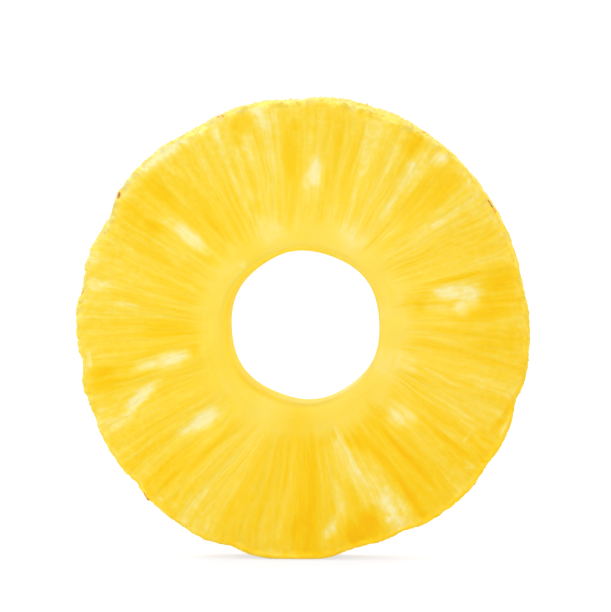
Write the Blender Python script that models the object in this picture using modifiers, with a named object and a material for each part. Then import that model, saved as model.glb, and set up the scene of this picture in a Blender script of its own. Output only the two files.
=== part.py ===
"""A fresh pineapple ring, peeled with a knife and cored with a round cutter, standing on its rim.

The ring is first shaped lying flat, front face up, round the Z axis. It is then stood up with its
front face towards -Y, and rests on the flat that its own weight presses into the lowest part of
the rim. A bearing is an angle round the ring in degrees: 0 is to the right of someone who faces
the front, and 90 is straight up. Lengths are in metres.
"""

import math

import bmesh
import bpy
from mathutils import Matrix, Vector, noise

MM = 0.001

# Driving dimensions
RIM_RADIUS = 48.1 * MM
CORE_RADIUS = 15.9 * MM
THICKNESS = 13.0 * MM
BASE_BELOW_CENTRE = 48.0 * MM
CORE_OFFSET = Vector((0.4 * MM, 0.6 * MM))

# Softened edges of the section
RIM_EDGE = 1.3 * MM
CORE_EDGE = 0.9 * MM

# Slow swells of the two outlines: (how many round the ring, height, bearing of a peak)
RIM_SWELLS = (
    (2, 0.50 * MM, 88),
    (3, 0.20 * MM, 86),
    (4, 0.28 * MM, 60),
    (6, 0.15 * MM, 10),
)
CORE_SWELLS = (
    (2, 0.14 * MM, 19),
    (3, 0.07 * MM, 56),
    (4, 0.08 * MM, 38),
    (6, 0.15 * MM, 36),
)

# Notches where an eye of the skin was cut out: (bearing, depth, half width in degrees)
EYE_NOTCHES = (
    (12, 0.6 * MM, 8),
    (21, 0.3 * MM, 3),
    (56, 0.3 * MM, 7),
    (91, 0.8 * MM, 7),
    (149, 0.6 * MM, 3),
    (168, 1.0 * MM, 4),
    (188, 1.1 * MM, 5),
    (201, 0.5 * MM, 4),
    (222, 0.8 * MM, 3),
    (251, 0.9 * MM, 5),
    (284, 1.0 * MM, 8),
    (295, 0.9 * MM, 9),
    (324, 0.5 * MM, 6),
    (341, 1.1 * MM, 5),
)
NOTCH_SLANT = 2.5  # degrees that a notch drifts from the front face to the back one

# Knife strokes that slant, so that the front edge lies further in: (bearing, set back, half width)
SLANTED_STROKES = ((71, 1.2 * MM, 17), (118, 1.3 * MM, 10), (152, 1.4 * MM, 9))

# The corer leaves the hole a little narrower at the back
CORE_TAPER = 0.2 * MM

# Relief of the cut faces
FRUITLETS = 17
FRUITLET_SWELL = 0.16 * MM
FRUITLET_DRIFT = 0.9  # radians by which the fruitlets crowd together or spread apart
KNIFE_WAVE = 0.22 * MM
KNIFE_WAVELENGTH = 55 * MM

# Torn fibres of the rim
TORN_FIBRES = 0.22 * MM
TORN_FIBRE_SPACING = 3.2 * MM
TORN_FIBRE_FADE = 8  # power by which they die away inwards

# Fineness of the mesh
SAME_POINT = 0.01 * MM
ROUND_STEPS = 180
EDGE_STEPS = 2
FRONT_STEPS, BACK_STEPS, RIM_STEPS, CORE_STEPS = 6, 5, 4, 2

# Finish
FLESH_COLOUR = (0.97, 0.68, 0.06, 1.0)
FLESH_ROUGHNESS = 0.35


def clear_scene():
    for old in list(bpy.data.objects):
        bpy.data.objects.remove(old, do_unlink=True)


def collection_named(name):
    made = bpy.data.collections.new(name)
    bpy.context.scene.collection.children.link(made)
    return made


def flesh_material():
    material = bpy.data.materials.new("pineapple_flesh")
    material.use_nodes = True
    shader = material.node_tree.nodes["Principled BSDF"]
    shader.inputs["Base Color"].default_value = FLESH_COLOUR
    shader.inputs["Roughness"].default_value = FLESH_ROUGHNESS
    shader.inputs["Metallic"].default_value = 0.0
    return material


# ---- The section of the ring, as (radius, height) points


def edge_arc(radius, height, round_by, start, end):
    """The points of one softened edge, from the start angle to the end angle, in degrees."""
    points = []
    for step in range(EDGE_STEPS + 1):
        angle = math.radians(start + (end - start) * step / EDGE_STEPS)
        points.append((radius + round_by * math.cos(angle), height + round_by * math.sin(angle)))
    return points


def between(first, last, steps):
    """The points that divide a straight side of the section, without its two ends."""
    shares = [step / steps for step in range(1, steps)]
    return [tuple(a + (b - a) * share for a, b in zip(first, last)) for share in shares]


def ring_section():
    """The section runs down the rim, in along the back, up the hole and out along the front."""
    top = THICKNESS / 2
    rim_front = edge_arc(RIM_RADIUS - RIM_EDGE, top - RIM_EDGE, RIM_EDGE, 90, 0)
    rim_back = edge_arc(RIM_RADIUS - RIM_EDGE, RIM_EDGE - top, RIM_EDGE, 0, -90)
    core_back = edge_arc(CORE_RADIUS + CORE_EDGE, CORE_EDGE - top, CORE_EDGE, -90, -180)
    core_front = edge_arc(CORE_RADIUS + CORE_EDGE, top - CORE_EDGE, CORE_EDGE, 180, 90)
    corners = (rim_front, rim_back, core_back, core_front)
    steps_after = (RIM_STEPS, BACK_STEPS, CORE_STEPS, FRONT_STEPS)
    points = []
    for place, steps in enumerate(steps_after):
        corner = corners[place]
        next_corner = corners[(place + 1) % len(corners)]
        points += corner + between(corner[-1], next_corner[0], steps)
    return points


def turned_ring(name):
    """The plain ring: the section turned round the Z axis."""
    points = ring_section()
    count = len(points)
    outline = bpy.data.meshes.new("ring_section")
    edges = [(place, (place + 1) % count) for place in range(count)]
    outline.from_pydata([(radius, 0, height) for radius, height in points], edges, [])
    turning = bpy.data.objects.new("ring_section", outline)
    bpy.context.scene.collection.objects.link(turning)
    screw = turning.modifiers.new("turn", "SCREW")
    screw.axis = "Z"
    screw.angle = math.radians(360)
    screw.steps = screw.render_steps = ROUND_STEPS
    screw.use_merge_vertices = True
    screw.merge_threshold = SAME_POINT
    graph = bpy.context.evaluated_depsgraph_get()
    ring = bpy.data.objects.new(name, bpy.data.meshes.new_from_object(turning.evaluated_get(graph)))
    bpy.data.objects.remove(turning, do_unlink=True)
    return ring


# ---- The true form, as a rule for each bearing


def degrees_apart(bearing, other):
    return abs((bearing - other + 180) % 360 - 180)


def swell(bearing, swells):
    """The sum of slow waves at a bearing."""
    waves = [height * math.cos(math.radians(count * (bearing - peak))) for count, height, peak in swells]
    return sum(waves)


def dip(bearing, centre, depth, half_width):
    """A V-shaped notch."""
    return depth * max(0.0, 1 - degrees_apart(bearing, centre) / half_width)


def soft_dip(bearing, centre, depth, half_width):
    """The same, with a round bottom and soft ends."""
    share = max(0.0, 1 - degrees_apart(bearing, centre) / half_width)
    return depth * share * share * (3 - 2 * share)


def rim_radius(bearing, behind):
    """The rim's radius. behind is 0 at the front face and 1 at the back one."""
    eye_bearing = bearing + NOTCH_SLANT * (behind - 0.5)
    radius = RIM_RADIUS + swell(bearing, RIM_SWELLS)
    radius -= sum(dip(eye_bearing, *notch) for notch in EYE_NOTCHES)
    return radius - (1 - behind) * sum(soft_dip(bearing, *stroke) for stroke in SLANTED_STROKES)


def core_radius(bearing, behind):
    return CORE_RADIUS + swell(bearing, CORE_SWELLS) - CORE_TAPER * behind


def face_relief(bearing, outwards, place):
    """How far a cut face stands proud: the knife's slow wave, and the swell of each fruitlet."""
    angle = math.radians(bearing)
    wave = KNIFE_WAVE * noise.noise(place / KNIFE_WAVELENGTH)
    phase = FRUITLETS * angle + FRUITLET_DRIFT * math.sin(3 * angle)
    return wave + FRUITLET_SWELL * math.sin(math.pi * outwards) * math.cos(phase)


def shaped(point):
    """Where a point of the plain ring lies on the real one."""
    bearing = math.degrees(math.atan2(point.y, point.x))
    outwards = (point.xy.length - CORE_RADIUS) / (RIM_RADIUS - CORE_RADIUS)
    behind = 0.5 - point.z / THICKNESS
    direction = point.xy.normalized()
    on_core = CORE_OFFSET + direction * core_radius(bearing, behind)
    on_rim = direction * rim_radius(bearing, behind)
    spot = on_core.lerp(on_rim, outwards)
    torn = noise.noise(point / TORN_FIBRE_SPACING) * TORN_FIBRES * max(0.0, outwards) ** TORN_FIBRE_FADE
    spot += direction * torn
    height = point.z + (1 - 2 * behind) * face_relief(bearing, outwards, point)
    return Vector((spot.x, spot.y, height))


def cut_base_flat(mesh):
    """Gives the plain ring its true form, and cuts it off flat where it rests."""
    whole = bmesh.new()
    whole.from_mesh(mesh)
    for vertex in whole.verts:
        vertex.co = shaped(vertex.co)
    cut = bmesh.ops.bisect_plane(
        whole,
        geom=whole.verts[:] + whole.edges[:] + whole.faces[:],
        dist=SAME_POINT,
        plane_co=(0, -BASE_BELOW_CENTRE, 0),
        plane_no=(0, -1, 0),
        clear_outer=True,
    )
    for made in cut["geom_cut"]:
        if isinstance(made, bmesh.types.BMVert):
            made.co.y = -BASE_BELOW_CENTRE
    rims = [edge for edge in whole.edges if edge.is_boundary]
    bmesh.ops.holes_fill(whole, edges=rims, sides=0)
    bmesh.ops.recalc_face_normals(whole, faces=whole.faces)
    whole.to_mesh(mesh)
    whole.free()


def stand_on_base(ring):
    """Stands the ring up, front towards -Y, with its box centred over the origin."""
    turned = Matrix.Rotation(math.radians(90), 4, "X")
    corners = [turned @ vertex.co for vertex in ring.data.vertices]
    middle = [(min(c[axis] for c in corners) + max(c[axis] for c in corners)) / 2 for axis in range(2)]
    ring.rotation_euler = (math.radians(90), 0, 0)
    ring.location = (-middle[0], -middle[1], BASE_BELOW_CENTRE)


def build():
    clear_scene()
    home = collection_named("pineapple_ring")
    ring = turned_ring("ring_flesh")
    cut_base_flat(ring.data)
    ring.data.materials.clear()
    ring.data.materials.append(flesh_material())
    ring.data.shade_smooth()
    ring.data.set_sharp_from_angle(angle=math.radians(40))
    home.objects.link(ring)
    stand_on_base(ring)


build()
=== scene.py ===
# %% [markdown]
# # A fresh pineapple ring, standing on its rim
#
# The real thing is one slice of a peeled pineapple with its core taken out. What makes it look
# like pineapple is not its shape, which the fixed frame already has, but its flesh: fibres that
# run from the core to the rim and bend on the way, pale pockets of tissue, deep yellow spots
# where the fruit is ripest, a smooth band round the core, and a torn, wet rim.
#
# The frame is loaded first and is never changed. Everything below is made in its metres.

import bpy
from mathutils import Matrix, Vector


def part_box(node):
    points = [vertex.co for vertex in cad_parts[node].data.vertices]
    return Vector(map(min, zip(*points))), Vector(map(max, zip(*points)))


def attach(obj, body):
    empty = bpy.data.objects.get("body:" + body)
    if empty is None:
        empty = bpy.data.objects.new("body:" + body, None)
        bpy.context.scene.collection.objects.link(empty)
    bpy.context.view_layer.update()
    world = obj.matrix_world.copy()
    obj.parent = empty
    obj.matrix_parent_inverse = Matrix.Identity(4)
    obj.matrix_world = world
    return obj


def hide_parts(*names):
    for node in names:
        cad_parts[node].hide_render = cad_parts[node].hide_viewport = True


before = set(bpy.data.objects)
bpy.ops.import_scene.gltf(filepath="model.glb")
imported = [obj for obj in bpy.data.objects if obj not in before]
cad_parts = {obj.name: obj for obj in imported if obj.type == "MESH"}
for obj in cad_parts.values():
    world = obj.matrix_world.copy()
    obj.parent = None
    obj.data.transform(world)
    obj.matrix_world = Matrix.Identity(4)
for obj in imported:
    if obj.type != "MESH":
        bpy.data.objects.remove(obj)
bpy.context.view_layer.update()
print("the frame holds", sorted(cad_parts))

# %% Tools for the rest of the script
import math

import bpy
import numpy as np
from mathutils import Vector

MM = 0.001
FLESH = "ring_flesh"
BODY = "root"


def placed(name, data):
    """A new object in the scene, at the origin."""
    thing = bpy.data.objects.new(name, data)
    bpy.context.scene.collection.objects.link(thing)
    return thing


print("Blender", bpy.app.version_string)

# %% [markdown]
# ## Where the ring is
#
# The fibres of a pineapple run out from the middle of the fruit, so most of what follows is
# placed by a bearing, in degrees round the ring, and a reach, in metres from its middle. Bearing
# 0 is to the right of someone who faces the front, and 90 is straight up. The middle could be
# typed in, but it is measured here as the centre of the solid's volume, so that it stays right
# if the frame changes: each triangle makes a thin pyramid with the origin, and the pyramids'
# centres are averaged by their volumes.

# %% Measure the frame


def volume_centre(node):
    """The centre of a closed solid's volume."""
    mesh = node.data
    mesh.calc_loop_triangles()
    corners = np.array([[mesh.vertices[v].co for v in tri.vertices] for tri in mesh.loop_triangles])
    volumes = np.einsum("ij,ij->i", corners[:, 0], np.cross(corners[:, 1], corners[:, 2])) / 6
    return Vector((corners.sum(axis=1) / 4 * volumes[:, None]).sum(axis=0) / volumes.sum())


LOWEST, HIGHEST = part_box(FLESH)
MIDDLE = volume_centre(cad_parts[FLESH])
THICKNESS = HIGHEST.y - LOWEST.y
RIM_REACH = (HIGHEST.x - LOWEST.x + HIGHEST.z - LOWEST.z) / 4
HOLE_SHARE = 15.9 / 48.1  # of the rim's reach
HOLE_REACH = HOLE_SHARE * RIM_REACH
print("middle", [round(c / MM, 2) for c in MIDDLE], "mm, rim at", round(RIM_REACH / MM, 2), "mm")

# %% [markdown]
# ## The camera
#
# The ring is seen almost face on, through a long lens, from a little above and a little to its
# right, so that a thin band of the rim shows at the top right. The lens is worked out from how
# much of the frame's width the ring fills, which is easier to judge than a focal length.

# %% Set up the camera
VIEW_AZIMUTH, VIEW_ELEVATION = math.radians(4), math.radians(3)
VIEW_DISTANCE = 0.78
RING_SHARE = 0.7488                    # of the picture's width
RING_RIGHT, RING_UP = -0.0026, -0.0366  # how far the ring is from the picture's middle
FRAME_WIDTH = 2 * RIM_REACH / RING_SHARE


def heading(bearing, height):
    """A direction. Bearing 0 is straight out of the front, and both angles are in radians."""
    flat = math.cos(height)
    return Vector((math.sin(bearing) * flat, -math.cos(bearing) * flat, math.sin(height)))


def look_back(thing, towards):
    """Turns a camera or a lamp that stands in this direction to face the ring."""
    thing.rotation_euler = (-towards).to_track_quat("-Z", "Y").to_euler()


camera_data = bpy.data.cameras.new("camera")
camera_data.lens = camera_data.sensor_width * VIEW_DISTANCE / FRAME_WIDTH
camera = placed("camera", camera_data)
towards_viewer = heading(VIEW_AZIMUTH, VIEW_ELEVATION)
look_back(camera, towards_viewer)
to_right = Vector((math.cos(VIEW_AZIMUTH), math.sin(VIEW_AZIMUTH), 0))
aim = MIDDLE - FRAME_WIDTH * (RING_RIGHT * to_right + RING_UP * towards_viewer.cross(to_right))
camera.location = aim + towards_viewer * VIEW_DISTANCE
camera_data.clip_start = 0.01
bpy.context.scene.camera = camera
print("a lens of", round(camera_data.lens), "mm")

# %% [markdown]
# ## Light and floor
#
# Fruit on a white ground is lit softly from all round and a little too brightly, so that the
# ground turns pure white and only a thin shadow is left where the ring touches it. A saturated
# yellow needs the plain Standard view, because the filmic views wash it out. The world gives the
# even light, and four softboxes shape it. A very wide one overhead leans back, so that the rim
# glows and the shadow falls in front of the ring as well as behind it. One at the viewer's upper
# left models the face, one low in front fills it, and one low behind lights the hole. The world
# looks whiter to the camera than it shines, which keeps the ground white without a grey veil of
# reflections on the wet flesh.

# %% Light the scene
WORLD_LIGHT, WORLD_SEEN = 0.65, 1.05
# a softbox's name, bearing, height, strength and width; bearing 0 is behind the camera, and
# the angles are in degrees
SOFTBOXES = [
    ("overhead", 180, 55, 2.3, 100),
    ("upper_left", -30, 38, 1.5, 75),
    ("low_front", 15, 12, 1.2, 70),
    ("rear", 190, 24, 1.2, 90),
]
bpy.context.scene.view_settings.view_transform = "Standard"
bpy.context.scene.view_settings.look = "None"


def light_world():
    world = bpy.data.worlds.new("soft_room")
    world.use_nodes = True
    nodes, links = world.node_tree.nodes, world.node_tree.links
    seen = nodes.new("ShaderNodeLightPath")
    strength = nodes.new("ShaderNodeMapRange")
    strength.inputs["To Min"].default_value = WORLD_LIGHT
    strength.inputs["To Max"].default_value = WORLD_SEEN
    links.new(seen.outputs["Is Camera Ray"], strength.inputs["Value"])
    links.new(strength.outputs["Result"], nodes["Background"].inputs["Strength"])
    nodes["Background"].inputs["Color"].default_value = (1, 1, 1, 1)
    bpy.context.scene.world = world


def softbox(name, bearing, height, strength, width):
    """A distant lamp that looks as wide as a big softbox."""
    data = bpy.data.lights.new(name, "SUN")
    data.energy = strength
    data.angle = math.radians(width)
    look_back(placed(name, data), heading(math.radians(bearing), math.radians(height)))


light_world()
for lamp in SOFTBOXES:
    softbox(*lamp)
print("lit by a world of", WORLD_LIGHT, "and", len(SOFTBOXES), "softboxes")

# %% [markdown]
# The floor is the other half of the white ground. White paper would turn yellow round the ring
# and show each lamp's shadow. This floor gives back less light than paper, so shadows are faint,
# and shines a little by itself. The shine is blue, against the yellow light that comes off the
# ring, and the floor's own colour is warm, to balance the blue. In the open the two add up to
# more than white, and in the shadow to a pale neutral grey.

# %% Lay the floor
FLOOR_SIZE = 60.0
FLOOR_COLOUR = (0.40, 0.35, 0.28, 1)
FLOOR_SHINE, SHINE_STRENGTH = (0.68, 0.81, 1.0, 1), 0.71

half = FLOOR_SIZE / 2
floor_mesh = bpy.data.meshes.new("floor")
floor_corners = [(-half, -half, 0), (half, -half, 0), (half, half, 0), (-half, half, 0)]
floor_mesh.from_pydata(floor_corners, [], [(0, 1, 2, 3)])
floor = placed("floor", floor_mesh)
floor_material = bpy.data.materials.new("white_ground")
floor_material.use_nodes = True
ground = floor_material.node_tree.nodes["Principled BSDF"]
ground.inputs["Base Color"].default_value = FLOOR_COLOUR
ground.inputs["Roughness"].default_value = 1.0
ground.inputs["Specular IOR Level"].default_value = 0.0
ground.inputs["Emission Color"].default_value = FLOOR_SHINE
ground.inputs["Emission Strength"].default_value = SHINE_STRENGTH
floor_mesh.materials.append(floor_material)
print("a floor of", FLOOR_SIZE, "m")

# %% [markdown]
# ## Helpers for node trees
#
# Geometry Nodes shape the flesh, its threads and its shreds, and shader nodes colour them. Both
# kinds of tree could be joined up by hand in Blender's editors, but a script can be read, changed
# and run again. The same few functions build both: one adds a node and fills its inputs, a few
# do sums, and one starts a group with named inputs.

# %% Build trees from Python
SOCKETS = {
    "geometry": "NodeSocketGeometry",
    "object": "NodeSocketObject",
    "material": "NodeSocketMaterial",
    "number": "NodeSocketFloat",
    "count": "NodeSocketInt",
    "vector": "NodeSocketVector",
    "colour": "NodeSocketColor",
}


def add(tree, kind, inputs=None, **options):
    """Adds a node, sets its options, and fills or joins its inputs by name or by number."""
    node = tree.nodes.new(kind)
    for name, value in options.items():
        setattr(node, name, value)
    for name, value in (inputs or {}).items():
        if isinstance(value, bpy.types.NodeSocket):
            tree.links.new(value, node.inputs[name])
        else:
            node.inputs[name].default_value = value
    return node


def maths(tree, operation, *terms):
    return add(tree, "ShaderNodeMath", dict(enumerate(terms)), operation=operation).outputs[0]


def vectors(tree, operation, *terms):
    node = add(tree, "ShaderNodeVectorMath", dict(enumerate(terms)), operation=operation)
    return node.outputs["Value" if operation == "LENGTH" else "Vector"]


def scaled(tree, vector, factor):
    return add(tree, "ShaderNodeVectorMath", {0: vector, "Scale": factor}, operation="SCALE").outputs[0]


def combined(tree, across, behind, up):
    return add(tree, "ShaderNodeCombineXYZ", {0: across, 1: behind, 2: up}).outputs[0]


def clamped(tree, value):
    return add(tree, "ShaderNodeClamp", {"Value": value}).outputs[0]


def start_group(kind, name, inputs, outputs):
    """A new node group. Returns the tree, its input sockets by name, and its output node."""
    tree = bpy.data.node_groups.new(name, kind)
    for direction, sockets in (("INPUT", inputs), ("OUTPUT", outputs)):
        for title, socket in sockets.items():
            tree.interface.new_socket(title, in_out=direction, socket_type=SOCKETS[socket])
    source = tree.nodes.new("NodeGroupInput")
    return tree, source.outputs, tree.nodes.new("NodeGroupOutput")


print("groups take", ", ".join(SOCKETS))

# %% [markdown]
# A Geometry Nodes tree becomes a piece in three steps. A modifier runs it on a start mesh, the
# result is read back as a plain mesh, and the start object goes, with its modifier. Applying the
# modifier by hand would do the same. A modifier knows its inputs by the sockets' identifiers, so
# these are looked up by name. A tree ends by making its copies real, because a copy that is only
# pointed to has no mesh of its own to hand on.

# %% Grow pieces from trees


def position(tree):
    return add(tree, "GeometryNodeInputPosition").outputs[0]


def named(tree, name):
    """An attribute that the mesh carries, read in Geometry Nodes."""
    return add(tree, "GeometryNodeInputNamedAttribute", {"Name": name}, data_type="FLOAT").outputs[0]


def realized(tree, geometry):
    return add(tree, "GeometryNodeRealizeInstances", {"Geometry": geometry}).outputs[0]


def finish_geometry(tree, geometry, material, out):
    """Ends a Geometry Nodes tree in plain mesh with its material."""
    parts = {"Geometry": realized(tree, geometry), "Material": material}
    tree.links.new(add(tree, "GeometryNodeSetMaterial", parts).outputs[0], out.inputs[0])


def grown_mesh(name, start, tree, **inputs):
    """A plain mesh object, from a tree run on a start mesh with its inputs by name."""
    holder = placed(name + "_start", start)
    modifier = holder.modifiers.new(name, "NODES")
    modifier.node_group = tree
    identifiers = {item.name: item.identifier for item in tree.interface.items_tree}
    for input_name, value in inputs.items():
        modifier[identifiers[input_name.replace("_", " ")]] = value
    graph = bpy.context.evaluated_depsgraph_get()
    mesh = bpy.data.meshes.new_from_object(holder.evaluated_get(graph))
    bpy.data.objects.remove(holder, do_unlink=True)
    mesh.name = name
    mesh.polygons.foreach_set("use_smooth", [True] * len(mesh.polygons))
    return placed(name, mesh)


def triangles(piece):
    piece.data.calc_loop_triangles()
    return len(piece.data.loop_triangles)


print("pieces can be grown from trees")

# %% [markdown]
# ## Streaks that follow the fibres
#
# Every fibre pattern, in the shape and in the colour, is the same idea: noise that is stretched
# along the reach and repeats round the ring. If noise were read straight from the bearing, it
# would jump where 360 degrees meets 0. Wrapping the bearing round a cylinder closes that seam:
# the cylinder's girth sets how many streaks there are, and the run sets how fast they change
# from the core to the rim. The depth is added to the run, so the two faces and the rim each get
# streaks of their own. One function builds these nodes, so that Geometry Nodes can carve the
# streaks that the shader colours.

# %% Nodes for places and streaks
DEPTH_RUN = 0.6  # how far the streaks change over a millimetre of the ring's thickness
WANDER = 0.016   # how far a fibre strays to either side of its line, in radians
STRAY = (20, 0.08, 2.0)  # the count, run and contrast of the noise that it strays by


def on_cylinder(tree, bearing, reach, depth, count, run):
    """A place to read noise at, with about count cells round the ring and run a millimetre."""
    girth = maths(tree, "DIVIDE", count, 2 * math.pi)
    across = maths(tree, "MULTIPLY", maths(tree, "COSINE", bearing), girth)
    along = maths(tree, "MULTIPLY", maths(tree, "SINE", bearing), girth)
    outwards = maths(tree, "MULTIPLY_ADD", reach, run, maths(tree, "MULTIPLY", depth, DEPTH_RUN))
    return combined(tree, across, along, outwards)


def with_contrast(tree, noise, contrast):
    """Noise that swings further either side of a half."""
    return maths(tree, "MULTIPLY_ADD", maths(tree, "SUBTRACT", noise, 0.5), contrast, 0.5)


def streak_noise(tree, bearing, reach, depth, count, run, contrast):
    """Noise from 0 to 1, with about count streaks round the ring and run changes a millimetre."""
    place = on_cylinder(tree, bearing, reach, depth, count, run)
    noise = add(tree, "ShaderNodeTexNoise", {"Vector": place, "Scale": 1.0, "Detail": 2.0}).outputs[0]
    return clamped(tree, with_contrast(tree, noise, contrast))


def ring_place(tree, place, middle, lean):
    """The bearing of the fibre through a place, in radians, then its reach and its depth in mm."""
    spot = vectors(tree, "SUBTRACT", place, middle)
    apart = add(tree, "ShaderNodeSeparateXYZ", {0: spot}).outputs
    bearing = maths(tree, "ARCTAN2", apart["Z"], apart["X"])
    bearing = maths(tree, "SUBTRACT", bearing, maths(tree, "RADIANS", lean))
    reach = vectors(tree, "LENGTH", vectors(tree, "MULTIPLY", spot, (1 / MM, 0, 1 / MM)))
    depth = maths(tree, "DIVIDE", apart["Y"], MM)
    stray = maths(tree, "SUBTRACT", streak_noise(tree, bearing, reach, depth, *STRAY), 0.5)
    return maths(tree, "MULTIPLY_ADD", stray, 2 * WANDER, bearing), reach, depth


def soft_step(tree, value, low, high):
    """0 below low and 1 above high, with a smooth rise between."""
    inputs = {"Value": value, "From Min": low, "From Max": high}
    return add(tree, "ShaderNodeMapRange", inputs, interpolation_type="SMOOTHSTEP").outputs[0]


print("streaks change", DEPTH_RUN, "a millimetre through the ring")

# %% [markdown]
# ## The skin of the flesh
#
# The frame's solid has the right outline, but its facets are too coarse for fibres. A modeller
# could subdivide it, which would give triangles that run across the fibres. Here the form is
# made again on a mesh whose rows and columns run with the fibres: a rounded section is swept
# round a circle, and each point is sent out from the middle of the section until it meets a
# copy of the solid. A few passes of blur then take away the last facets.

# %% The tree that makes the skin


def swept_ring(tree, given):
    """A rounded section, with its rows about a row spacing apart, swept round a circle."""
    width = maths(tree, "SUBTRACT", given["Rim reach"], given["Hole reach"])
    both_reaches = maths(tree, "ADD", given["Rim reach"], given["Hole reach"])
    circle = add(tree, "GeometryNodeCurvePrimitiveCircle",
                 {"Resolution": given["Columns"], "Radius": maths(tree, "MULTIPLY", both_reaches, 0.5)},
                 mode="RADIUS")
    section = add(tree, "GeometryNodeCurvePrimitiveQuadrilateral",
                  {"Width": width, "Height": given["Thickness"]}, mode="RECTANGLE")
    rounded = add(tree, "GeometryNodeFilletCurve",
                  {"Curve": section.outputs[0], "Count": given["Edge points"],
                   "Radius": given["Edge rounding"]}, mode="POLY")
    here = position(tree)
    next_point = add(tree, "GeometryNodeOffsetPointInCurve", {"Offset": 1}).outputs["Point Index"]
    there = add(tree, "GeometryNodeFieldAtIndex", {"Value": here, "Index": next_point},
                data_type="FLOAT_VECTOR", domain="POINT")
    length = vectors(tree, "LENGTH", vectors(tree, "SUBTRACT", there.outputs[0], here))
    cuts = maths(tree, "FLOOR", maths(tree, "DIVIDE", length, given["Row spacing"]))
    rows = add(tree, "GeometryNodeSubdivideCurve", {"Curve": rounded.outputs[0], "Cuts": cuts})
    swept = add(tree, "GeometryNodeCurveToMesh",
                {"Curve": circle.outputs[0], "Profile Curve": rows.outputs[0]})
    return add(tree, "GeometryNodeTransform",
               {"Geometry": swept.outputs[0], "Translation": given["Middle"],
                "Rotation": (math.radians(90), 0, 0)}).outputs[0]


RAY_LENGTH = 0.05  # in metres, longer than the way from any start to the flesh


def cast(tree, target, start, direction):
    """What a ray from start finds on an object: its outputs say where, and whether it hits."""
    surface = add(tree, "GeometryNodeObjectInfo", {"Object": target}).outputs["Geometry"]
    return add(tree, "GeometryNodeRaycast",
               {"Target Geometry": surface, "Source Position": start,
                "Ray Direction": direction, "Ray Length": RAY_LENGTH}).outputs


def skin_tree():
    inputs = {
        "Geometry": "geometry", "Form": "object", "Columns": "count", "Middle": "vector",
        "Hole reach": "number", "Rim reach": "number", "Thickness": "number",
        "Edge rounding": "number", "Edge points": "count", "Row spacing": "number",
        "Evening passes": "count", "Material": "material",
    }
    tree, given, out = start_group("GeometryNodeTree", "flesh skin", inputs, {"Geometry": "geometry"})
    ring = swept_ring(tree, given)
    # each ray starts on the section's middle line, held half a thickness clear of both ends
    here = position(tree)
    outwards = vectors(tree, "MULTIPLY", vectors(tree, "SUBTRACT", here, given["Middle"]), (1, 0, 1))
    half_depth = maths(tree, "MULTIPLY", given["Thickness"], 0.5)
    nearest = maths(tree, "ADD", given["Hole reach"], half_depth)
    farthest = maths(tree, "SUBTRACT", given["Rim reach"], half_depth)
    reach = maths(tree, "MAXIMUM", vectors(tree, "LENGTH", outwards), nearest)
    reach = maths(tree, "MINIMUM", reach, farthest)
    inside = scaled(tree, vectors(tree, "NORMALIZE", outwards), reach)
    inside = vectors(tree, "ADD", inside, given["Middle"])
    ray = cast(tree, given["Form"], inside, vectors(tree, "SUBTRACT", here, inside))
    met = add(tree, "GeometryNodeSetPosition",
              {"Geometry": ring, "Selection": ray["Is Hit"], "Position": ray["Hit Position"]})
    evened = add(tree, "GeometryNodeBlurAttribute",
                 {"Value": here, "Iterations": given["Evening passes"], "Weight": 1.0},
                 data_type="FLOAT_VECTOR")
    even = add(tree, "GeometryNodeSetPosition",
               {"Geometry": met.outputs[0], "Position": evened.outputs[0]})
    finish_geometry(tree, even.outputs[0], given["Material"], out)
    return tree


SKIN_TREE = skin_tree()
print("the skin's tree has", len(SKIN_TREE.nodes), "nodes")

# %% Make the skin
COLUMNS = 764


def merged_copy(node):
    """A copy of a frame solid whose loose triangles are joined, to cast rays at."""
    copy = placed("form", node.data.copy())
    weld = copy.modifiers.new("join", "WELD")
    weld.merge_threshold = 0.01 * MM
    return copy


flesh_material = bpy.data.materials.new("wet_pineapple_flesh")
flesh_material.use_nodes = True
form = merged_copy(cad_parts[FLESH])
plain_flesh = grown_mesh(
    "plain_flesh", bpy.data.meshes.new("nothing"), SKIN_TREE,
    Form=form, Columns=COLUMNS, Middle=MIDDLE, Hole_reach=HOLE_REACH, Rim_reach=RIM_REACH,
    Thickness=THICKNESS, Edge_rounding=1.6 * MM, Edge_points=4, Row_spacing=0.7 * MM,
    Evening_passes=6, Material=flesh_material,
)
bpy.data.objects.remove(form, do_unlink=True)
print("the skin has", triangles(plain_flesh), "triangles")

# %% [markdown]
# ## Reading the flesh
#
# A slice through a pineapple cuts through about seventeen fruitlets, each a wedge of fibres with
# its own ripeness. Seen close up, the paleness changes every ten degrees or so, and the fibres
# of each wedge lean: they leave the rim at one bearing and reach the core a few degrees on. The
# front's wedges are written down one by one, because they give this slice its look. Each has its
# bearing, its lean in degrees, and how pale its outer and its inner flesh is, from 0 for deep
# golden to 1 for white. The back's wedges are drawn from a seeded random generator.

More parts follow.
